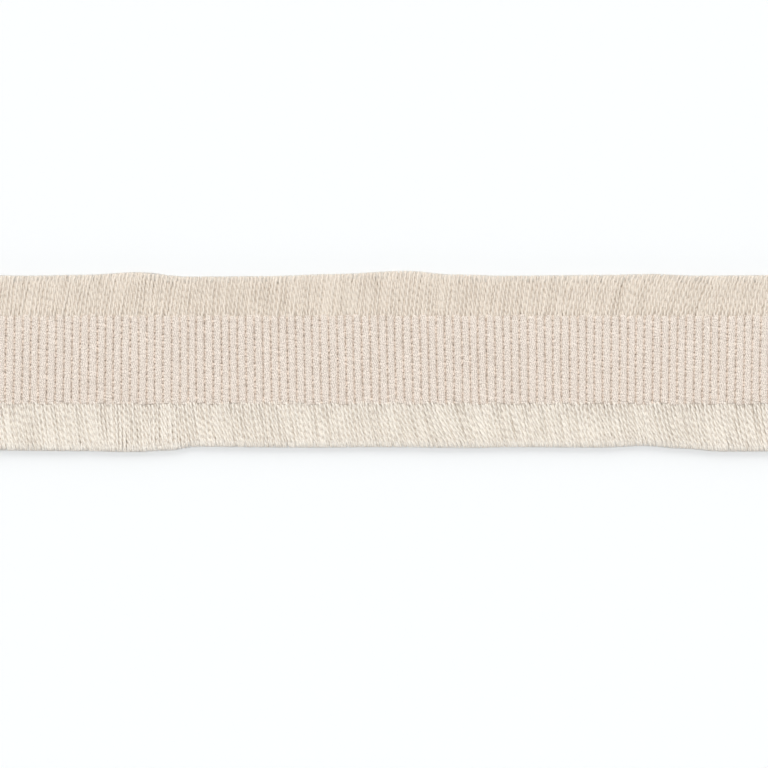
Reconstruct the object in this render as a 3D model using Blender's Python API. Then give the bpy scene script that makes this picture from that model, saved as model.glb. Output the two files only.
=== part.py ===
"""A cut length of braid trim lying face up: a band of ribbed cloth, with a short brush fringe along both edges.

X runs along the trim, Y across it, and +Z out of its face. The origin is on the surface that the trim lies on,
under the middle of its outline. Sizes are in metres.
"""

import math
import random

import bmesh
import bpy

MM = 0.001

# The band: thick weft yarns in bundles, one to a rib, covered by fine warps.
RIB_COUNT = 101
RIB_PITCH = 1.9 * MM
BAND_WIDTH = 20.0 * MM
BAND_THICKNESS = 2.0 * MM
FACE_GROOVE = 0.6 * MM
BACK_GROOVE = 0.35 * MM
BACK_FLAT = 0.58 * RIB_PITCH
FACE_POINTS = 4
ROUNDNESS = 0.7
CROWN_UNEVEN = 0.05 * MM

# The ribs aren't quite square to the band: their slope swings along it, and they bow a little.
SLOPE_MEAN = 0.004
SLOPE_SWING = 0.020
SLOPE_REPEAT = 170.0 * MM
RIB_BOW = 0.10 * MM

# The fringe: the weft bundles run on past the band, one lock to a rib.
SEAM_GAP = 0.3 * MM
STRIP_WIDTH = 1.0 * MM
STRIP_THICKNESS = 1.5 * MM
LOCK_WIDTH = 1.48 * MM
LENGTH_UNEVEN = 0.28 * MM
TIP_UNEVEN = 0.10 * MM
SEED = 7

# A lock's sections from its root to its tip: the share of its length, its width and its top edge
# as shares of LOCK_WIDTH, and its height.
LOCK_SECTIONS = (
    {"along": 0.30, "wide": 1.00, "top": 0.72, "high": 1.75 * MM},
    {"along": 0.86, "wide": 1.00, "top": 0.66, "high": 1.60 * MM},
    {"along": 1.00, "wide": 0.80, "top": 0.46, "high": 0.95 * MM},
)

# How far each fringe reaches past the band's edge, and how many degrees its locks lean towards +X,
# at places along the trim.
UPPER_FRINGE = (
    {"x": -96 * MM, "reach": 9.3 * MM, "lean": 7},
    {"x": -84 * MM, "reach": 9.1 * MM, "lean": 8},
    {"x": -70 * MM, "reach": 9.3 * MM, "lean": 11},
    {"x": -58 * MM, "reach": 9.9 * MM, "lean": 9},
    {"x": -46 * MM, "reach": 8.9 * MM, "lean": 5},
    {"x": -28 * MM, "reach": 9.0 * MM, "lean": 7},
    {"x": -12 * MM, "reach": 9.5 * MM, "lean": 7},
    {"x": 4 * MM, "reach": 10.2 * MM, "lean": 7},
    {"x": 15 * MM, "reach": 9.4 * MM, "lean": 4},
    {"x": 27 * MM, "reach": 9.1 * MM, "lean": 8},
    {"x": 50 * MM, "reach": 9.3 * MM, "lean": 15},
    {"x": 58 * MM, "reach": 9.5 * MM, "lean": 18},
    {"x": 68 * MM, "reach": 9.1 * MM, "lean": 20},
    {"x": 84 * MM, "reach": 9.2 * MM, "lean": 16},
    {"x": 96 * MM, "reach": 9.3 * MM, "lean": 12},
)
LOWER_FRINGE = (
    {"x": -96 * MM, "reach": 10.4 * MM, "lean": 6},
    {"x": -70 * MM, "reach": 10.6 * MM, "lean": 8},
    {"x": -58 * MM, "reach": 10.8 * MM, "lean": 3},
    {"x": -51 * MM, "reach": 10.5 * MM, "lean": 4},
    {"x": -44 * MM, "reach": 9.6 * MM, "lean": 7},
    {"x": -20 * MM, "reach": 9.8 * MM, "lean": 8},
    {"x": 0 * MM, "reach": 9.7 * MM, "lean": 12},
    {"x": 15 * MM, "reach": 9.9 * MM, "lean": 19},
    {"x": 28 * MM, "reach": 9.7 * MM, "lean": 13},
    {"x": 48 * MM, "reach": 9.8 * MM, "lean": 10},
    {"x": 58 * MM, "reach": 9.4 * MM, "lean": 12},
    {"x": 66 * MM, "reach": 10.0 * MM, "lean": 14},
    {"x": 76 * MM, "reach": 10.7 * MM, "lean": 12},
    {"x": 96 * MM, "reach": 10.6 * MM, "lean": 9},
)

CLOTH_COLOUR = (0.76, 0.68, 0.59, 1.0)
FRINGE_COLOUR = (0.80, 0.73, 0.63, 1.0)


def clear_scene():
    for old in list(bpy.data.objects):
        bpy.data.objects.remove(old)


def make_material(name, colour, roughness):
    material = bpy.data.materials.new(name)
    material.use_nodes = True
    shader = material.node_tree.nodes["Principled BSDF"]
    shader.inputs["Base Color"].default_value = colour
    shader.inputs["Roughness"].default_value = roughness
    shader.inputs["Metallic"].default_value = 0.0
    return material


def finish_object(bm, name, material, collection):
    """Writes a bmesh to a new object in the collection."""
    mesh = bpy.data.meshes.new(name)
    bm.to_mesh(mesh)
    bm.free()
    mesh.materials.append(material)
    made = bpy.data.objects.new(name, mesh)
    collection.objects.link(made)
    return made


def rib_x(index, y):
    """Where the middle of a rib lies along the trim, at a place across it."""
    x = (index - (RIB_COUNT - 1) / 2) * RIB_PITCH
    slope = SLOPE_MEAN + SLOPE_SWING * math.cos(2 * math.pi * x / SLOPE_REPEAT)
    across = y / (BAND_WIDTH / 2)
    bow = RIB_BOW * math.sin(1.3 * index) * (1 - min(1.0, across * across))
    return x - y * slope + bow


def band_profile(y):
    """The band's section at a place across it, as (x, z) points round its outline."""
    face, back = [], []
    for index in range(RIB_COUNT):
        middle = rib_x(index, y)
        crown = BAND_THICKNESS + CROWN_UNEVEN * (math.sin(2.1 * index) - 1)
        root = BAND_THICKNESS - FACE_GROOVE
        for step in range(FACE_POINTS):
            turn = step / FACE_POINTS
            rise = math.sin(math.pi * turn) ** ROUNDNESS
            face.append((middle + (turn - 0.5) * RIB_PITCH, root + (crown - root) * rise))
        back.append((middle - RIB_PITCH / 2, BACK_GROOVE))
        back.append((middle - BACK_FLAT / 2, 0.0))
        back.append((middle + BACK_FLAT / 2, 0.0))
    end = rib_x(RIB_COUNT - 1, y) + RIB_PITCH / 2
    face.append((end, BAND_THICKNESS - FACE_GROOVE))
    back.append((end, BACK_GROOVE))
    return back + face[::-1]


def make_band(material, collection):
    """The ribbed band: its section drawn at one edge, and extruded across to the other by way of the middle."""
    bm = bmesh.new()
    edge = BAND_WIDTH / 2
    ring = [bm.verts.new((x, -edge, z)) for x, z in band_profile(-edge)]
    front = bm.faces.new(ring)
    for y in (0.0, edge):
        made = bmesh.ops.extrude_face_region(bm, geom=[front, *front.edges])
        front = next(item for item in made["geom"] if isinstance(item, bmesh.types.BMFace))
        for vert, (x, z) in zip(front.verts, band_profile(y)):
            vert.co = (x, y, z)
    bmesh.ops.recalc_face_normals(bm, faces=bm.faces)
    return finish_object(bm, "woven_band", material, collection)


def along_table(rows, x, column):
    """A column of a table at a place along the trim, eased between its rows."""
    for before, after in zip(rows, rows[1:]):
        if x <= after["x"]:
            share = max(0.0, (x - before["x"]) / (after["x"] - before["x"]))
            share = share * share * (3 - 2 * share)
            return before[column] + (after[column] - before[column]) * share
    return rows[-1][column]


def outward_faces(bm, side):
    """The faces that point away from the band, in their order along it."""
    faces = [face for face in bm.faces if face.normal.y * side > 0.9]
    return sorted(faces, key=lambda face: face.calc_center_median().x)


def place_section(face, middle, y, wide, top, high):
    """Makes a lock's newest end face a section that is flat below and narrower above."""
    old = face.calc_center_median()
    for vert in face.verts:
        upper = vert.co.z > old.z
        side = math.copysign(top if upper else wide, vert.co.x - old.x) / 2
        vert.co = (middle + side, y, high if upper else 0.0)


def grow_lock(bm, face, root_x, root_y, length, lean, side):
    """Extrudes one lock outward from its face on the strip, in steps that lean more towards the tip."""
    for section in LOCK_SECTIONS:
        along = section["along"]
        sweep = length * math.tan(math.radians(lean)) * along * (0.75 + 0.25 * along)
        face = bmesh.ops.extrude_discrete_faces(bm, faces=[face])["faces"][0]
        place_section(
            face,
            root_x + sweep,
            root_y + side * length * along,
            LOCK_WIDTH * section["wide"],
            LOCK_WIDTH * section["top"],
            section["high"],
        )


def make_fringe(name, rows, side, material, collection):
    """One fringe: a narrow strip along the band's edge, and the locks that grow out of it. side is 1 or -1."""
    chance = random.Random(SEED + side)
    inner = side * (BAND_WIDTH / 2 + SEAM_GAP)
    outer = inner + side * STRIP_WIDTH
    roots = [rib_x(index, outer) for index in range(RIB_COUNT)]
    ends = (roots[0] - RIB_PITCH / 2, roots[-1] + RIB_PITCH / 2)

    bm = bmesh.new()
    bmesh.ops.create_cube(bm, size=1.0)
    bmesh.ops.scale(bm, vec=(ends[1] - ends[0], STRIP_WIDTH, STRIP_THICKNESS), verts=bm.verts)
    centre = (sum(ends) / 2, (inner + outer) / 2, STRIP_THICKNESS / 2)
    bmesh.ops.translate(bm, vec=centre, verts=bm.verts)
    for root in roots:
        for x in (root - LOCK_WIDTH / 2, root + LOCK_WIDTH / 2):
            faces = outward_faces(bm, side)
            edges = {edge for face in faces for edge in face.edges}
            bmesh.ops.bisect_plane(bm, geom=faces + list(edges), plane_co=(x, 0, 0), plane_no=(1, 0, 0))

    for index, face in enumerate(outward_faces(bm, side)[1::2]):
        x = roots[index]
        reach = along_table(rows, x, "reach") + chance.uniform(-1, 1) * LENGTH_UNEVEN
        lean = along_table(rows, x, "lean")
        length = reach - SEAM_GAP - STRIP_WIDTH
        lean += math.degrees(chance.uniform(-1, 1) * TIP_UNEVEN / length)
        grow_lock(bm, face, x, outer, length, lean, side)

    bmesh.ops.recalc_face_normals(bm, faces=bm.faces)
    return finish_object(bm, name, material, collection)


def centre_on_outline(parts):
    """Moves the meshes so that the middle of the whole outline is at X 0, Y 0."""
    places = [vert.co for part in parts for vert in part.data.vertices]
    middle_x = (min(p.x for p in places) + max(p.x for p in places)) / 2
    middle_y = (min(p.y for p in places) + max(p.y for p in places)) / 2
    for part in parts:
        part.location = (-middle_x, -middle_y, 0.0)


def main():
    clear_scene()
    trim = bpy.data.collections.new("braid_trim")
    bpy.context.scene.collection.children.link(trim)
    cloth = make_material("band_cloth", CLOTH_COLOUR, 0.85)
    yarn = make_material("fringe_yarn", FRINGE_COLOUR, 0.75)
    parts = [
        make_band(cloth, trim),
        make_fringe("upper_fringe", UPPER_FRINGE, 1, yarn, trim),
        make_fringe("lower_fringe", LOWER_FRINGE, -1, yarn, trim),
    ]
    centre_on_outline(parts)


main()
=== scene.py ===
# Braid trim lying face up on a pale table: a ribbed twill band, with a brush fringe of two-ply yarn
# along both edges
import math
import random

import bmesh
import bpy
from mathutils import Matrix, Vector, noise


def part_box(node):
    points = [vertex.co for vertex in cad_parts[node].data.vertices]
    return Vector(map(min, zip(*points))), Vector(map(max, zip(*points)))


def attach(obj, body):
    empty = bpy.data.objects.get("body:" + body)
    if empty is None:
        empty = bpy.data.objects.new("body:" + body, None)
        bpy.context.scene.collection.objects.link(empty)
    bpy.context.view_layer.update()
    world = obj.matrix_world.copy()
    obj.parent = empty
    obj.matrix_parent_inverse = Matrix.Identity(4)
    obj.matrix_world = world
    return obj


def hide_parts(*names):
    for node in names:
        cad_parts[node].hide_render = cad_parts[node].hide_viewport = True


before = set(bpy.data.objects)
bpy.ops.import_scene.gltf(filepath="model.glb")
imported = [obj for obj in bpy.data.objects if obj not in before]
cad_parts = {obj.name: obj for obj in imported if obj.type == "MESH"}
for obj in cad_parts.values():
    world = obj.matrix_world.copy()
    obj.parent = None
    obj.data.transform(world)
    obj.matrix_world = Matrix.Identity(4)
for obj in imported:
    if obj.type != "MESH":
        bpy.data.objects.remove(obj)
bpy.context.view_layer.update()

mm = 0.001
twoPi = 2 * math.pi

bandLow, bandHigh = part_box("woven_band")
middleX = (bandLow.x + bandHigh.x) / 2
middleY = (bandLow.y + bandHigh.y) / 2
halfWidth = (bandHigh.y - bandLow.y) / 2
faceZ = bandHigh.z

# The ribs, as they lie in the solids
ribs = {
    "count": 101,
    "pitch": 1.9 * mm,
    "slopeMean": 0.004,  # how far a rib is from square to the band
    "slopeSwing": 0.020,
    "slopeRepeat": 170 * mm,
    "bow": 0.10 * mm,
}


def ribX(rib, y):
    # Where a rib, or a place between two ribs, crosses a line along the trim
    x = (rib - (ribs["count"] - 1) / 2) * ribs["pitch"]
    slope = ribs["slopeMean"] + ribs["slopeSwing"] * math.cos(twoPi * x / ribs["slopeRepeat"])
    across = min(1, abs(y - middleY) / halfWidth)
    return middleX + x - (y - middleY) * slope + ribs["bow"] * math.sin(1.3 * rib) * (1 - across**2)


def ripple(x, length, seed):
    # A smooth uneven value from about -1 to 1 that changes along the trim
    return noise.noise(Vector((x / length, seed * 7.3, 0.5))) * 1.6


def mixed(a, b, share):
    return a + (b - a) * share


def alongTable(rows, x, column):
    # A column of a table at a place along the trim, eased between its rows
    for before, after in zip(rows, rows[1:]):
        if x <= after["x"]:
            share = max(0, (x - before["x"]) / (after["x"] - before["x"]))
            return mixed(before[column], after[column], share * share * (3 - 2 * share))
    return rows[-1][column]


# Materials. Threads vary from dark to light, and are tinted by shadeColour from noShadeZ down to fullShadeZ:
# painted shade, warmer and darker low down between threads

fringeLook = {
    "shadeColour": (0.90, 0.80, 0.70, 1),
    "fullShadeZ": 0.5 * mm,
    "noShadeZ": 1.2 * mm,
    "sheen": 0.15,
    "bump": 0.35,
    "pile": 0.03 * mm,
    "grainScale": 2300,
    "uneven": {"tone": 0.5, "drift": 0.5, "grain": 0.8, "twist": 0.0},
    "twistBump": 0,
}
fuzzLook = {
    "shadeColour": (1, 1, 1, 1),
    "fullShadeZ": 0.0,
    "noShadeZ": 1.0 * mm,
    "roughness": 0.5,
    "bump": 0.1,
    "pile": 0.0,
    "grainScale": 2300,
    "uneven": {"tone": 0.7, "drift": 0.8, "grain": 0.8, "twist": 0.0},
    "twistBump": 0,
}
yarnLooks = {
    "band": {
        # its light end is also the painted highlight that the paintedLight attribute brings up on the warps
        "light": (0.99, 0.895, 0.805, 1),
        "dark": (0.62, 0.535, 0.46, 1),
        "shadeColour": (0.86, 0.745, 0.65, 1),
        "fullShadeZ": 1.10 * mm,
        "noShadeZ": 1.88 * mm,
        "roughness": 0.62,
        "sheen": 0.25,
        "bump": 0.35,
        "pile": 0.10 * mm,
        "grainScale": 3600,
        "uneven": {"tone": 0.2, "drift": 0.4, "grain": 5.6, "twist": 1.5},
        "twistBump": 0.05 * mm,
    },
    # The ground is the same weft yarn as the fringe, coloured darker as painted shade where it shows in the
    # grooves
    "ground": {
        "light": (0.80, 0.69, 0.58, 1),
        "dark": (0.70, 0.59, 0.49, 1),
        "shadeColour": (0.80, 0.67, 0.57, 1),
        "fullShadeZ": 1.10 * mm,
        "noShadeZ": 1.88 * mm,
        "roughness": 0.8,
        "sheen": 0.1,
        "bump": 0.5,
        "pile": 0.05 * mm,
        "grainScale": 2300,
        "uneven": {"tone": 0.0, "drift": 0.8, "grain": 1.0, "twist": 0.0},
        "twistBump": 0,
    },
    # Both fringes are the same yarn. The upper is coloured darker as painted shade and the lower lighter as
    # painted light
    "upperFringe": {
        **fringeLook,
        "light": (0.855, 0.770, 0.670, 1),
        "dark": (0.580, 0.495, 0.405, 1),
        "roughness": 0.38,
    },
    "lowerFringe": {
        **fringeLook,
        "light": (0.96, 0.90, 0.81, 1),
        "dark": (0.57, 0.49, 0.405, 1),
        "roughness": 0.36,
    },
    # The fuzz too: darker on the upper side as painted shade, and paler on the lower as painted light on its
    # shaded cut edge
    "upperFuzz": {
        **fuzzLook,
        "light": (0.82, 0.765, 0.69, 1),
        "dark": (0.75, 0.695, 0.62, 1),
        "sheen": 0.2,
    },
    "lowerFuzz": {
        **fuzzLook,
        "light": (0.96, 0.915, 0.85, 1),
        "dark": (0.90, 0.85, 0.78, 1),
        "sheen": 0.6,
    },
}

# What every yarn has alike
spun = {
    "sheenRoughness": 0.4,
    "sheenTint": (1.0, 0.97, 0.93, 1),
    "driftScale": 260,
    "driftDetail": 3,
    "fibreScale": 6500,
    "fibreDetail": 2,
    "grainDetail": 1,
    "fibreRelief": 0.04 * mm,
}


def mixColours(nodes, links, factor, first, second, blend="MIX"):
    # first and second are colours, or sockets that give one
    mix = nodes.new("ShaderNodeMix")
    mix.data_type = "RGBA"
    mix.blend_type = blend
    for socket, value in ((6, first), (7, second)):
        if isinstance(value, bpy.types.NodeSocket):
            links.new(value, mix.inputs[socket])
        else:
            mix.inputs[socket].default_value = value
    if isinstance(factor, bpy.types.NodeSocket):
        links.new(factor, mix.inputs["Factor"])
    else:
        mix.inputs["Factor"].default_value = factor
    return mix.outputs[2]


# How far apart a warp's ridges are each way, and how far its own tone moves them
warpTwist = {"along": 0.42 * mm, "across": -1.6 * mm, "offset": 40}


def twistedPlies(nodes, links, axes, tone):
    # The slanting ridges of a warp's two plies, from 0 to 1. Each thread has them at a place of its own
    turns = None
    for source, share in (
        (axes["X"], twoPi / warpTwist["along"]),
        (axes["Y"], twoPi / warpTwist["across"]),
        (tone, warpTwist["offset"]),
    ):
        added = nodes.new("ShaderNodeMath")
        added.operation = "MULTIPLY_ADD"
        added.inputs[1].default_value = share
        links.new(source, added.inputs[0])
        if turns:
            links.new(turns, added.inputs[2])
        else:
            added.inputs[2].default_value = 0
        turns = added.outputs[0]
    wave = nodes.new("ShaderNodeMath")
    wave.operation = "SINE"
    links.new(turns, wave.inputs[0])
    ridge = nodes.new("ShaderNodeMath")
    ridge.operation = "MULTIPLY_ADD"
    ridge.inputs[1].default_value = 0.5
    ridge.inputs[2].default_value = 0.5
    links.new(wave.outputs[0], ridge.inputs[0])
    return ridge.outputs[0]


def yarnMaterial(name, look):
    # Spun yarn: each thread has its own tone, over slow drifts of tone and fine fibres, with painted
    # highlights and shade from the paintedLight attribute, and painted shade that makes it warmer deep
    # between threads
    material = bpy.data.materials.new(name)
    material.use_nodes = True
    nodes, links = material.node_tree.nodes, material.node_tree.links
    shader = nodes["Principled BSDF"]
    shader.inputs["Roughness"].default_value = look["roughness"]
    shader.inputs["Specular IOR Level"].default_value = 0.5
    shader.inputs["Sheen Weight"].default_value = look["sheen"]
    shader.inputs["Sheen Roughness"].default_value = spun["sheenRoughness"]
    shader.inputs["Sheen Tint"].default_value = spun["sheenTint"]

    place = nodes.new("ShaderNodeTexCoord")
    tone = nodes.new("ShaderNodeAttribute")
    tone.attribute_name = "tone"

    drift = nodes.new("ShaderNodeTexNoise")
    drift.inputs["Scale"].default_value = spun["driftScale"]
    drift.inputs["Detail"].default_value = spun["driftDetail"]
    links.new(place.outputs["Object"], drift.inputs["Vector"])

    fibres = nodes.new("ShaderNodeTexNoise")
    fibres.inputs["Scale"].default_value = spun["fibreScale"]
    fibres.inputs["Detail"].default_value = spun["fibreDetail"]
    links.new(place.outputs["Object"], fibres.inputs["Vector"])

    grain = nodes.new("ShaderNodeTexNoise")
    grain.inputs["Scale"].default_value = look["grainScale"]
    grain.inputs["Detail"].default_value = spun["grainDetail"]
    links.new(place.outputs["Object"], grain.inputs["Vector"])

    axes = nodes.new("ShaderNodeSeparateXYZ")
    links.new(place.outputs["Object"], axes.inputs[0])
    twist = twistedPlies(nodes, links, axes.outputs, tone.outputs["Fac"])
    paintedLight = nodes.new("ShaderNodeAttribute")
    paintedLight.attribute_name = "paintedLight"

    total = 0
    uneven = look["uneven"]
    shares = (
        (tone.outputs["Fac"], uneven["tone"]),
        (drift.outputs["Fac"], uneven["drift"]),
        (grain.outputs["Fac"], uneven["grain"]),
        # the plies' ridges also darken the colour in the valleys between them: painted shade
        (twist, uneven["twist"]),
        # painted highlights and painted shade on the warps, from the paintedLight attribute
        (paintedLight.outputs["Fac"], 1),  # this one lies about 0, and the others about a half
    )
    for share, weight in shares:
        added = nodes.new("ShaderNodeMath")
        added.operation = "MULTIPLY_ADD"
        links.new(share, added.inputs[0])
        added.inputs[1].default_value = weight
        if total:
            links.new(total, added.inputs[2])
        else:
            added.inputs[2].default_value = 0
        total = added.outputs[0]

    middle = sum(uneven.values()) / 2
    spread = nodes.new("ShaderNodeMapRange")
    spread.inputs["From Min"].default_value = middle - 0.5
    spread.inputs["From Max"].default_value = middle + 0.5
    links.new(total, spread.inputs["Value"])

    height = nodes.new("ShaderNodeMapRange")
    height.inputs["From Min"].default_value = look["fullShadeZ"]
    height.inputs["From Max"].default_value = look["noShadeZ"]
    links.new(axes.outputs["Z"], height.inputs["Value"])

    colour = mixColours(nodes, links, spread.outputs["Result"], look["dark"], look["light"])
    # painted shade: the colour is darkened and warmed from noShadeZ down to fullShadeZ, where shade falls
    # between threads
    paintedShade = mixColours(nodes, links, height.outputs["Result"], look["shadeColour"], (1, 1, 1, 1))
    links.new(mixColours(nodes, links, 1, colour, paintedShade, "MULTIPLY"), shader.inputs["Base Color"])

    pile = nodes.new("ShaderNodeBump")
    pile.inputs["Distance"].default_value = look["pile"]
    links.new(grain.outputs["Fac"], pile.inputs["Height"])
    bump = nodes.new("ShaderNodeBump")
    bump.inputs["Strength"].default_value = look["bump"]
    bump.inputs["Distance"].default_value = spun["fibreRelief"]
    links.new(fibres.outputs["Fac"], bump.inputs["Height"])
    ridges = nodes.new("ShaderNodeBump")
    ridges.inputs["Distance"].default_value = look["twistBump"]
    links.new(twist, ridges.inputs["Height"])
    links.new(pile.outputs["Normal"], ridges.inputs["Normal"])
    links.new(ridges.outputs["Normal"], bump.inputs["Normal"])
    links.new(bump.outputs["Normal"], shader.inputs["Normal"])
    return material


materials = {name: yarnMaterial(f"cream_{name}", look) for name, look in yarnLooks.items()}
print("materials made")


def addPiece(mesh, name, material):
    piece = bpy.data.objects.new(name, mesh)
    bpy.context.scene.collection.objects.link(piece)
    mesh.materials.clear()
    mesh.materials.append(material)
    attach(piece, "root")
    return piece


def threadMesh(name, strands, ring, along, flatness=1):
    # Many threads in one mesh. A strand is a list of (x, y, z, half width, tone, paintedLight) places along
    # it, where paintedLight is a painted highlight or painted shade. A ring is a list of (across, up, tone)
    # corners in half widths, whose tone is painted light or shade around a thread, and stands square to the x
    # or y axis that the threads follow
    corners = len(ring)
    places, faces, tonesAndPaintedLight, paintedLights = [], [], [], []
    for strand in strands:
        first = len(places)
        for x, y, z, thick, tone, paintedLight in strand:
            for across, up, light in ring:
                high = z + up * thick * flatness
                if along == "x":
                    places.append((x, y + across * thick, high))
                else:
                    places.append((x + across * thick, y, high))
                tonesAndPaintedLight.append(tone + light)
            paintedLights += [paintedLight] * corners
        for start in range(first, len(places) - corners, corners):
            for corner in range(corners):
                after = (corner + 1) % corners
                ahead = start + corners
                faces.append((start + corner, ahead + corner, ahead + after, start + after))
        faces.append(tuple(range(first, first + corners)))
        faces.append(tuple(reversed(range(len(places) - corners, len(places)))))
    mesh = bpy.data.meshes.new(name)
    mesh.from_pydata(places, [], faces)
    mesh.shade_smooth()
    # the tone attribute holds each thread's own tone together with the painted light and shade from its ring
    # and crests
    mesh.attributes.new("tone", "FLOAT", "POINT").data.foreach_set("value", tonesAndPaintedLight)
    mesh.attributes.new("paintedLight", "FLOAT", "POINT").data.foreach_set("value", paintedLights)
    bm = bmesh.new()
    bm.from_mesh(mesh)
    bmesh.ops.recalc_face_normals(bm, faces=bm.faces)
    bm.to_mesh(mesh)
    bm.free()
    return mesh


# The band: a ribbed ground of weft bundles, and the warps woven over it

ground = {
    "crown": 1.66 * mm,
    "groove": 0.60 * mm,
    "backGroove": 0.30 * mm,
    "backFoot": 0.10 * mm,
    "facePoints": 6,
    "stepsAcross": 6,
    "inset": 0.1 * mm,  # the last warps lie just outside the ground
    "faceRoundness": 0.8,
    "backRoundness": 0.7,
}


def groundSection(y):
    # The ground's section along the trim: one round crown to a rib on its face, and two weft yarns
    # on its back
    face, back = [], []
    count = ground["facePoints"]
    for rib in range(ribs["count"]):
        for step in range(count):
            turn = step / count
            x = ribX(rib - 0.5 + turn, y)
            rise = abs(math.sin(math.pi * turn)) ** ground["faceRoundness"]
            face.append((x, mixed(ground["groove"], ground["crown"], rise)))
            swell = abs(math.sin(twoPi * turn)) ** ground["backRoundness"]
            back.append((x, mixed(ground["backGroove"], ground["backFoot"], swell)))
    end = ribX(ribs["count"] - 0.5, y)
    return back + [(end, ground["backGroove"]), (end, ground["groove"])] + face[::-1]


def makeGround():
    bm = bmesh.new()
    steps = ground["stepsAcross"]
    inset = ground["inset"]
    lines = [mixed(bandLow.y + inset, bandHigh.y - inset, step / steps) for step in range(steps + 1)]
    front = bm.faces.new([bm.verts.new((x, lines[0], z)) for x, z in groundSection(lines[0])])
    for y in lines[1:]:
        made = bmesh.ops.extrude_face_region(bm, geom=[front, *front.edges])
        front = next(item for item in made["geom"] if isinstance(item, bmesh.types.BMFace))
        for vert, (x, z) in zip(front.verts, groundSection(y)):
            vert.co = (x, y, z)
    bmesh.ops.recalc_face_normals(bm, faces=bm.faces)
    for face in bm.faces:
        face.smooth = len(face.verts) == 4
    mesh = bpy.data.meshes.new("band_ground")
    bm.to_mesh(mesh)
    bm.free()
    return mesh


warps = {
    "count": 57,
    "set": 4,             # a warp goes over three ribs and under the fourth
    "radius": 0.46 * mm,  # half its width
    "flatness": 0.22,     # its height to its width
    "backZ": 0.11 * mm,
    "edgeFall": 0.08 * mm,
    "edgeWidth": 0.9 * mm,
    "unevenZ": 0.02 * mm,
    "unevenY": 0.015 * mm,
    "unevenWidth": (0.95, 1.03),
    "unevenCrown": 0.05 * mm,
    "unevenTone": 0.7,    # how much of its tone changes from rib to rib
    "seed": 11,
}
warpPitch = 2 * halfWidth / warps["count"]

# A warp's section, in half widths across and up, with how much painted highlight or shade it has there
warpRing = ((-1.0, 0.0, 0), (-0.55, 0.8, 0), (0.0, 1.0, 0), (0.55, 0.8, 0), (1.0, 0.0, 0), (0.0, -0.9, 0))

# A warp's places over a rib, with how far it lies below the crown and its painted highlight or painted shade
# there. Over its first rib it is in phase 3 and over its last in phase 1
warpTurns = (-0.37, -0.16, 0.16, 0.37)
warpDips = {
    1: (0.12 * mm, 0.01 * mm, 0.03 * mm, 0.22 * mm),
    2: (0.20 * mm, 0.02 * mm, 0.02 * mm, 0.20 * mm),
    3: (0.07 * mm, 0.00 * mm, 0.02 * mm, 0.20 * mm),
}
# painted light on the warps: a painted highlight where a number is above 0 and painted shade where it is
# below
warpPaintedLight = {
    0: (0.0, 0.0, 0.0, 0.0),
    1: (1.6, 0.1, 0.0, 0.5),
    2: (-0.6, 0.1, 0.1, 0.0),
    3: (0.1, 0.0, 0.0, -0.2),
}

# The same at the groove on a rib's left, with how narrow it is drawn there. The painted shade in the groove
# is darkest where a warp goes down
grooves = {
    "going over": {"dip": 0.47 * mm, "pinch": 0.75, "paintedLight": -0.2},
    "going down": {"dip": 0.86 * mm, "pinch": 0.65, "paintedLight": -0.7},
    "coming up": {"dip": 0.52 * mm, "pinch": 0.65, "paintedLight": -0.3},
}

# How far the warps move over, in pitches, towards the place of the one that is under a rib, and in the
# groove towards the place of the two that cross there. At a rib's sides they move a little less
crowding = {
    "rib": {0: 0.0, 1: 0.33, 2: 0.0, 3: -0.33},
    "groove": {0: 0.0, 1: 0.30, 2: -0.30, 3: 0.0},
    "atSide": 0.85,
}


def warpStrand(warp, crowns, chance):
    # Places along a warp, as (x, y, z, half width, tone, paintedLight)
    y = bandHigh.y - (warp + 0.5) * warpPitch
    fromEdge = halfWidth - abs(y - middleY)
    fall = warps["edgeFall"] * max(0, 1 - fromEdge / warps["edgeWidth"]) ** 2
    tone = chance.random()
    strand = []
    for rib in range(ribs["count"]):
        phase = (warp - rib) % warps["set"]
        shift = crowding["rib"][phase] * warpPitch
        topZ = faceZ - warps["radius"] * warps["flatness"] - fall - crowns[rib]
        jitterZ = chance.uniform(-1, 0) * warps["unevenZ"]
        jitterY = chance.uniform(-1, 1) * warps["unevenY"]
        crossingTone = mixed(tone, chance.random(), warps["unevenTone"])
        thick = warps["radius"] * chance.uniform(*warps["unevenWidth"])

        groove = grooves[{0: "going down", warps["set"] - 1: "coming up"}.get(phase, "going over")]
        x = ribX(rib - 0.5, y)
        grooveY = y + jitterY + crowding["groove"][phase] * warpPitch
        grooveZ = topZ - groove["dip"]
        pinched = thick * groove["pinch"]
        strand.append((x, grooveY, grooveZ, pinched, crossingTone, groove["paintedLight"]))
        for place, turn in enumerate(warpTurns):
            z = topZ + jitterZ - warpDips[phase][place] if phase else warps["backZ"]
            sideways = shift * (1 if place in (1, 2) else crowding["atSide"])
            paintedLight = warpPaintedLight[phase][place]
            strand.append((ribX(rib + turn, y), y + sideways + jitterY, z, thick, crossingTone, paintedLight))
    last = grooves["going over"]
    strand.append((ribX(ribs["count"] - 0.5, y), y, topZ - last["dip"], thick * last["pinch"], tone, 0))
    return strand


def makeWarps():
    chance = random.Random(warps["seed"])
    crowns = [chance.uniform(0, warps["unevenCrown"]) for _ in range(ribs["count"])]
    strands = [warpStrand(warp, crowns, chance) for warp in range(warps["count"])]
    return [
        addPiece(
            threadMesh(name, strands[first::2], warpRing, "x", warps["flatness"]),
            name,
            materials["band"],
        )
        for first, name in enumerate(("warps_odd", "warps_even"))
    ]


bandGround = addPiece(makeGround(), "band_ground", materials["ground"])
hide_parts("woven_band")
print("band ground made")
bandWarps = makeWarps()
print("warps woven")

# The fringe: the free ends of the weft yarns, four to a rib, in two layers

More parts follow.
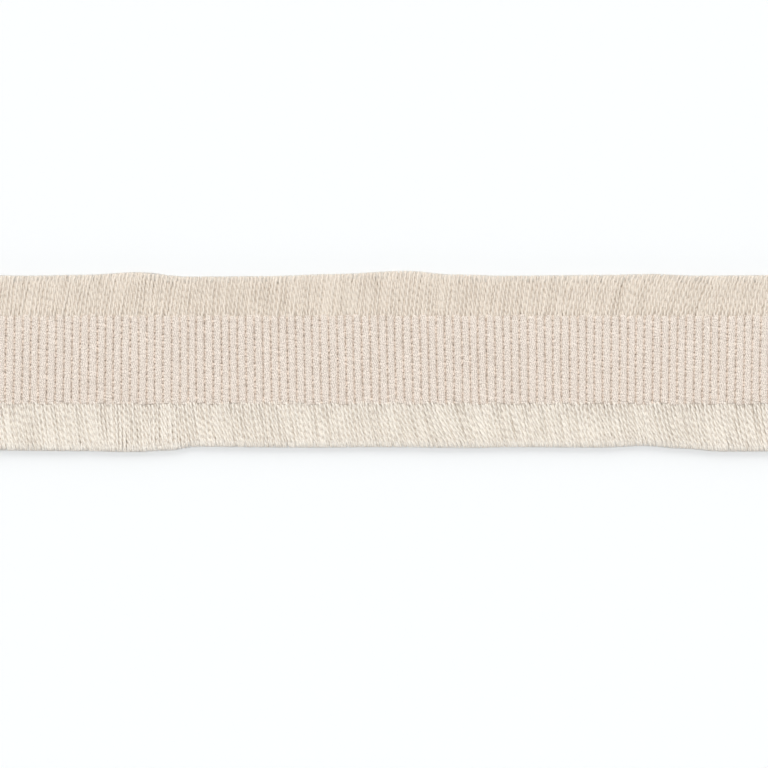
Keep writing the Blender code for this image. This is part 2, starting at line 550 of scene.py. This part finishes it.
upperFringe = (
    {"x": -96 * mm, "reach": 9.3 * mm, "lean": 7},
    {"x": -84 * mm, "reach": 9.1 * mm, "lean": 8},
    {"x": -70 * mm, "reach": 9.3 * mm, "lean": 11},
    {"x": -58 * mm, "reach": 9.9 * mm, "lean": 9},
    {"x": -46 * mm, "reach": 8.9 * mm, "lean": 5},
    {"x": -28 * mm, "reach": 9.0 * mm, "lean": 7},
    {"x": -12 * mm, "reach": 9.5 * mm, "lean": 7},
    {"x": 4 * mm, "reach": 10.2 * mm, "lean": 7},
    {"x": 15 * mm, "reach": 9.4 * mm, "lean": 4},
    {"x": 27 * mm, "reach": 9.1 * mm, "lean": 8},
    {"x": 50 * mm, "reach": 9.3 * mm, "lean": 15},
    {"x": 58 * mm, "reach": 9.5 * mm, "lean": 18},
    {"x": 68 * mm, "reach": 9.1 * mm, "lean": 20},
    {"x": 84 * mm, "reach": 9.2 * mm, "lean": 16},
    {"x": 96 * mm, "reach": 9.3 * mm, "lean": 12},
)
lowerFringe = (
    {"x": -96 * mm, "reach": 10.4 * mm, "lean": 6},
    {"x": -70 * mm, "reach": 10.6 * mm, "lean": 8},
    {"x": -58 * mm, "reach": 10.8 * mm, "lean": 3},
    {"x": -51 * mm, "reach": 10.5 * mm, "lean": 4},
    {"x": -44 * mm, "reach": 9.6 * mm, "lean": 7},
    {"x": -20 * mm, "reach": 9.8 * mm, "lean": 8},
    {"x": 0 * mm, "reach": 9.7 * mm, "lean": 12},
    {"x": 15 * mm, "reach": 9.9 * mm, "lean": 19},
    {"x": 28 * mm, "reach": 9.7 * mm, "lean": 13},
    {"x": 48 * mm, "reach": 9.8 * mm, "lean": 10},
    {"x": 58 * mm, "reach": 9.4 * mm, "lean": 12},
    {"x": 66 * mm, "reach": 10.0 * mm, "lean": 14},
    {"x": 76 * mm, "reach": 10.7 * mm, "lean": 12},
    {"x": 96 * mm, "reach": 10.6 * mm, "lean": 9},
)

# Places where the fringe parts a little between two tufts, and how far
partings = {
    "upper": (
        {"x": -64.5 * mm, "gap": 0.28 * mm},
        {"x": -55.5 * mm, "gap": 0.20 * mm},
        {"x": -50.4 * mm, "gap": 0.28 * mm},
        {"x": -6.8 * mm, "gap": 0.20 * mm},
        {"x": -1.6 * mm, "gap": 0.20 * mm},
        {"x": 4.5 * mm, "gap": 0.28 * mm},
    ),
    "lower": (
        {"x": -64.2 * mm, "gap": 0.20 * mm},
        {"x": 22.0 * mm, "gap": 0.20 * mm},
    ),
}
partingWidth = 2.2 * mm

yarn = {
    "twistPitch": 3.3 * mm,  # one full turn of its two plies
    "plyRadius": {"upper": 0.32 * mm, "lower": 0.30 * mm},
    "plyOffset": {"upper": 0.158 * mm, "lower": 0.165 * mm},  # from the yarn's middle to a ply's middle
    "flatness": 0.8,
    # painted highlight along a ply's crest where it comes up on top, and painted shade where it goes under
    "paintedCrestLight": {"upper": 0.5, "lower": 0.6},  # how much brighter a ply is where it comes up
    "openEnd": 1.5 * mm,      # the plies open out and close into one another over this length at the tip
    "openOffset": 0.25,
    "longer": {"upper": 0.10 * mm, "lower": 0.25 * mm},  # past the reach of the fringe's own table
    "inside": 1.1 * mm,       # how far a yarn reaches back under the band
    "edgeUneven": 0.20 * mm,  # how much higher or lower a yarn comes out of the band's edge
    "tuftShift": 0.34 * mm,   # how far the tips crowd together into tufts
    "tuftLength": 5.0 * mm,
    "smallTuft": 0.3,         # the share of the tufts within tufts
    "smallTuftLength": 2.0 * mm,
    "tuftRise": 1.4,
    "gather": 0.06,           # the yarns of a rib part only past the edge, by this share of its pitch
    "unevenReach": (-0.10 * mm, 0.12 * mm),
    "unevenLift": (-0.10 * mm, 0.16 * mm),
    "unevenInside": (0.7, 1.3),
    "unevenTwist": (0.85, 1.2),
    "unevenTone": (0.2, 0.8),
    "wave": (0.03 * mm, 0.12 * mm),
    "waveTurns": 5,
    "leanAtRoot": 0.75,       # the share of the lean that is there from the root
    "dropFrom": 0.7,          # where along a yarn its tip starts to drop
    "tipWidth": 0.62,
    "seed": 23,
}
layers = {
    "top": {
        "shift": 0.0,
        "rootZ": 1.10 * mm,
        "edgeZ": 1.52 * mm,
        "z": 1.20 * mm,
        "tipZ": 0.98 * mm,
        "shorter": 0.04 * mm,
        "plump": 1.0,
        "tuft": 1.0,
        "stray": 0.6,
        "steps": 32,
        # each corner's third number is painted light: brighter on a ply's top, darker on its sides and
        # underside
        "ring": (
            (0.0, 1.0, 0.75),
            (0.87, 0.5, -0.30),
            (0.87, -0.5, -0.6),
            (0.0, -1.0, -0.6),
            (-0.87, -0.5, -0.6),
            (-0.87, 0.5, -0.30),
        ),
    },
    "under": {
        "shift": 0.25,
        "rootZ": 0.90 * mm,
        "edgeZ": 1.05 * mm,
        "z": 0.90 * mm,
        "tipZ": 0.80 * mm,
        "shorter": 0.30 * mm,
        "plump": 1.45,
        "tuft": 0.6,
        "stray": 0.5,
        "steps": 18,
        # each corner's third number is painted light: darker on a ply's sides and underside
        "ring": ((0.0, 1.0, 0.0), (1.0, 0.0, -0.3), (0.0, -1.0, -0.3), (-1.0, 0.0, -0.3)),
    },
}
fuzz = {
    "count": 3200,
    "radius": 0.07 * mm,
    "shortest": 0.9 * mm,
    "longest": 2.0 * mm,
    "stray": 5,
    "past": 0.15 * mm,
    "uneven": 0.08 * mm,
    "sink": 0.10 * mm,
    "rootSink": 0.25 * mm,
    "steps": 4,
    "tipWidth": 0.7,
    "ring": ((0.0, 1.0, 0.0), (0.87, -0.5, 0.0), (-0.87, -0.5, 0.0)),
    # How high they lie at places inwards from their tips
    "profile": (
        {"x": -2.0 * mm, "z": 1.50 * mm},
        {"x": -1.0 * mm, "z": 1.40 * mm},
        {"x": -0.4 * mm, "z": 1.15 * mm},
        {"x": 0.0 * mm, "z": 0.72 * mm},
    ),
    "seed": 31,
}


def partingShift(rows, x):
    # Tips on each side of a parting lean away from it
    total = 0
    for row in rows:
        away = x - row["x"]
        total += math.copysign(row["gap"] / 2, away) * math.exp(-abs(away) / partingWidth)
    return total


def leanAt(rows, x, stray, chance):
    # A yarn's or a fibre's slope towards +X, with its own stray from the table's
    return math.tan(math.radians(alongTable(rows, x, "lean") + chance.uniform(-1, 1) * stray))


def yarnStrands(side, name, rows, layer, chance):
    # The two plies of each yarn in one layer of one fringe. side is 1 above the band, -1 below it
    edge = middleY + side * halfWidth
    strands = []
    for rib in range(ribs["count"]):
        for half in (-1, 1):
            rootX = ribX(rib + half * 0.25 + layer["shift"], edge)
            gather = -half * yarn["gather"] * ribs["pitch"]
            x = rootX - middleX
            lean = leanAt(rows, x, layer["stray"], chance)
            reach = alongTable(rows, x, "reach") + yarn["longer"][name] + chance.uniform(*yarn["unevenReach"])
            reach -= layer["shorter"]
            crowd = ripple(x, yarn["tuftLength"], 3 * side)
            crowd += yarn["smallTuft"] * ripple(x, yarn["smallTuftLength"], 5 * side)
            tuft = layer["tuft"] * (yarn["tuftShift"] * crowd + partingShift(partings[name], x))
            lift = chance.uniform(*yarn["unevenLift"])
            inside = yarn["inside"] * chance.uniform(*yarn["unevenInside"])
            edgeZ = layer["edgeZ"] + chance.uniform(-1, 1) * yarn["edgeUneven"]
            wave = chance.uniform(*yarn["wave"])
            wavePhase = chance.uniform(0, twoPi)
            turn = chance.uniform(0, twoPi)
            twistPitch = yarn["twistPitch"] * chance.uniform(*yarn["unevenTwist"])
            tone = chance.uniform(*yarn["unevenTone"])
            plies = ([], [])
            steps = layer["steps"]
            for step in range(steps + 1):
                out = mixed(-inside, reach, step / steps)
                share = max(0, out) / reach
                swept = max(0, out) * mixed(yarn["leanAtRoot"], 1, share)
                axisX = rootX + lean * swept + tuft * share ** yarn["tuftRise"]
                axisX += wave * math.sin(wavePhase + yarn["waveTurns"] * share) * min(1, 3 * share)
                axisX += gather * (1 - min(1, 4 * share))
                axisY = edge + side * out
                axisZ = mixed(layer["rootZ"], edgeZ, min(1, (out + inside) / inside))
                axisZ = mixed(axisZ, layer["z"], min(1, 2.5 * share))
                axisZ += lift * math.sin(math.pi * share)
                dropped = max(0, (share - yarn["dropFrom"]) / (1 - yarn["dropFrom"]))
                axisZ = mixed(axisZ, layer["tipZ"], dropped**2)
                angle = turn + twoPi * axisY / twistPitch
                opened = max(0, 1 - (reach - out) / yarn["openEnd"])
                offset = yarn["plyOffset"][name] * mixed(1, yarn["openOffset"], opened)
                radius = yarn["plyRadius"][name] * layer["plump"]
                radius *= yarn["tipWidth"] if step == steps else 1
                lowest = radius * yarn["flatness"]
                paintedCrestLight = yarn["paintedCrestLight"][name] * (1 - opened)
                for ply, start in zip(plies, (0, math.pi)):
                    up = math.sin(angle + start)
                    z = max(axisZ + offset * up, lowest)
                    x = axisX + offset * math.cos(angle + start)
                    ply.append((x, axisY, z, radius, tone + paintedCrestLight * up, 0))
            strands += plies
    return strands


def fuzzStrands(side, name, rows, chance):
    # The loose fibres along the cut, which hide the plies under one soft edge
    edge = middleY + side * halfWidth
    count = fuzz["count"]
    strands = []
    for index in range(count):
        rib = mixed(-0.5, ribs["count"] - 0.5, (index + chance.uniform(0, 1)) / count)
        rootX = ribX(rib, edge)
        x = rootX - middleX
        lean = leanAt(rows, x, fuzz["stray"], chance)
        reach = alongTable(rows, x, "reach") + yarn["longer"][name]
        length = chance.uniform(fuzz["shortest"], fuzz["longest"])
        past = fuzz["past"] - chance.uniform(0, 1) ** 3 * fuzz["uneven"]
        tone = chance.random()
        sink = chance.uniform(0, 1) * fuzz["sink"]
        fibre = []
        for step in range(fuzz["steps"] + 1):
            share = step / fuzz["steps"]
            out = reach + past - (1 - share) * length
            z = alongTable(fuzz["profile"], out - reach - past, "z") - sink
            z -= fuzz["rootSink"] * (1 - share) ** 2
            radius = fuzz["radius"] * (fuzz["tipWidth"] if step == fuzz["steps"] else 1)
            swept = out * mixed(yarn["leanAtRoot"], 1, out / reach)
            fibre.append((rootX + lean * swept, edge + side * out, z, radius, tone, 0))
        strands.append(fibre)
    return strands


def makeFringe(name, side, rows):
    chance = random.Random(yarn["seed"] + side)
    look = materials[f"{name}Fringe"]
    pieces = []
    for layerName, layer in layers.items():
        pieceName = f"{name}_fringe_{layerName}"
        strands = yarnStrands(side, name, rows, layer, chance)
        mesh = threadMesh(pieceName, strands, layer["ring"], "y", yarn["flatness"])
        pieces.append(addPiece(mesh, pieceName, look))
    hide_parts(f"{name}_fringe")
    pieceName = f"{name}_fringe_fuzz"
    strands = fuzzStrands(side, name, rows, random.Random(fuzz["seed"] + side))
    mesh = threadMesh(pieceName, strands, fuzz["ring"], "y")
    pieces.append(addPiece(mesh, pieceName, materials[f"{name}Fuzz"]))
    print(name, "fringe made")
    return pieces


fringePieces = makeFringe("upper", 1, upperFringe) + makeFringe("lower", -1, lowerFringe)

# The table, the light and the camera

table = {"size": 3.0, "colour": (0.937, 0.954, 0.9625, 1), "roughness": 0.9, "specular": 0.1}


def makeTable():
    bm = bmesh.new()
    bmesh.ops.create_grid(bm, x_segments=1, y_segments=1, size=table["size"] / 2)
    mesh = bpy.data.meshes.new("table_top")
    bm.to_mesh(mesh)
    bm.free()
    material = bpy.data.materials.new("pale_table")
    material.use_nodes = True
    shader = material.node_tree.nodes["Principled BSDF"]
    shader.inputs["Base Color"].default_value = table["colour"]
    shader.inputs["Roughness"].default_value = table["roughness"]
    shader.inputs["Specular IOR Level"].default_value = table["specular"]
    mesh.materials.append(material)
    top = bpy.data.objects.new("table_top", mesh)
    bpy.context.scene.collection.objects.link(top)


lights = {
    "overhead": {"from": (0.0, 0.03, 1.0), "strength": 1.80, "spread": 12, "colour": (1.0, 0.995, 0.99)},
    "back": {"from": (0.0, 1.0, 0.45), "strength": 1.85, "spread": 50, "colour": (1.0, 0.995, 0.985)},
    "front": {"from": (0.0, -1.0, 0.12), "strength": 0.85, "spread": 24, "colour": (1.0, 1.0, 1.0)},
}
skyColour = (0.97, 0.985, 1.0, 1)
skyStrength = 0.21


def makeLights():
    for name, look in lights.items():
        lamp = bpy.data.lights.new(name + "_light", "SUN")
        lamp.energy = look["strength"]
        lamp.angle = math.radians(look["spread"])
        lamp.color = look["colour"]
        holder = bpy.data.objects.new(name + "_light", lamp)
        bpy.context.scene.collection.objects.link(holder)
        holder.rotation_euler = Vector(look["from"]).to_track_quat("Z", "Y").to_euler()
    world = bpy.data.worlds.new("studio")
    world.use_nodes = True
    background = world.node_tree.nodes["Background"]
    background.inputs["Color"].default_value = skyColour
    background.inputs["Strength"].default_value = skyStrength
    bpy.context.scene.world = world


view = {
    "width": 176.0 * mm,     # how much of the trim's length the picture shows
    "belowBand": 5.56 * mm,  # from the band's middle line to the picture's middle
    "aside": 0.19 * mm,
    "lens": 100,
    "sensor": 36,
    "focusZ": 1.5 * mm,      # the height at which the picture is that wide
}


def makeCamera():
    camera = bpy.data.cameras.new("camera")
    camera.lens = view["lens"]
    camera.sensor_width = view["sensor"]
    camera.clip_start = 0.01
    holder = bpy.data.objects.new("camera", camera)
    bpy.context.scene.collection.objects.link(holder)
    height = view["width"] * view["lens"] / view["sensor"] + view["focusZ"]
    holder.location = (middleX + view["aside"], middleY - view["belowBand"], height)
    bpy.context.scene.camera = holder


makeTable()
makeLights()
makeCamera()
bpy.context.scene.view_settings.view_transform = "Standard"
print("stage, lights and camera set")
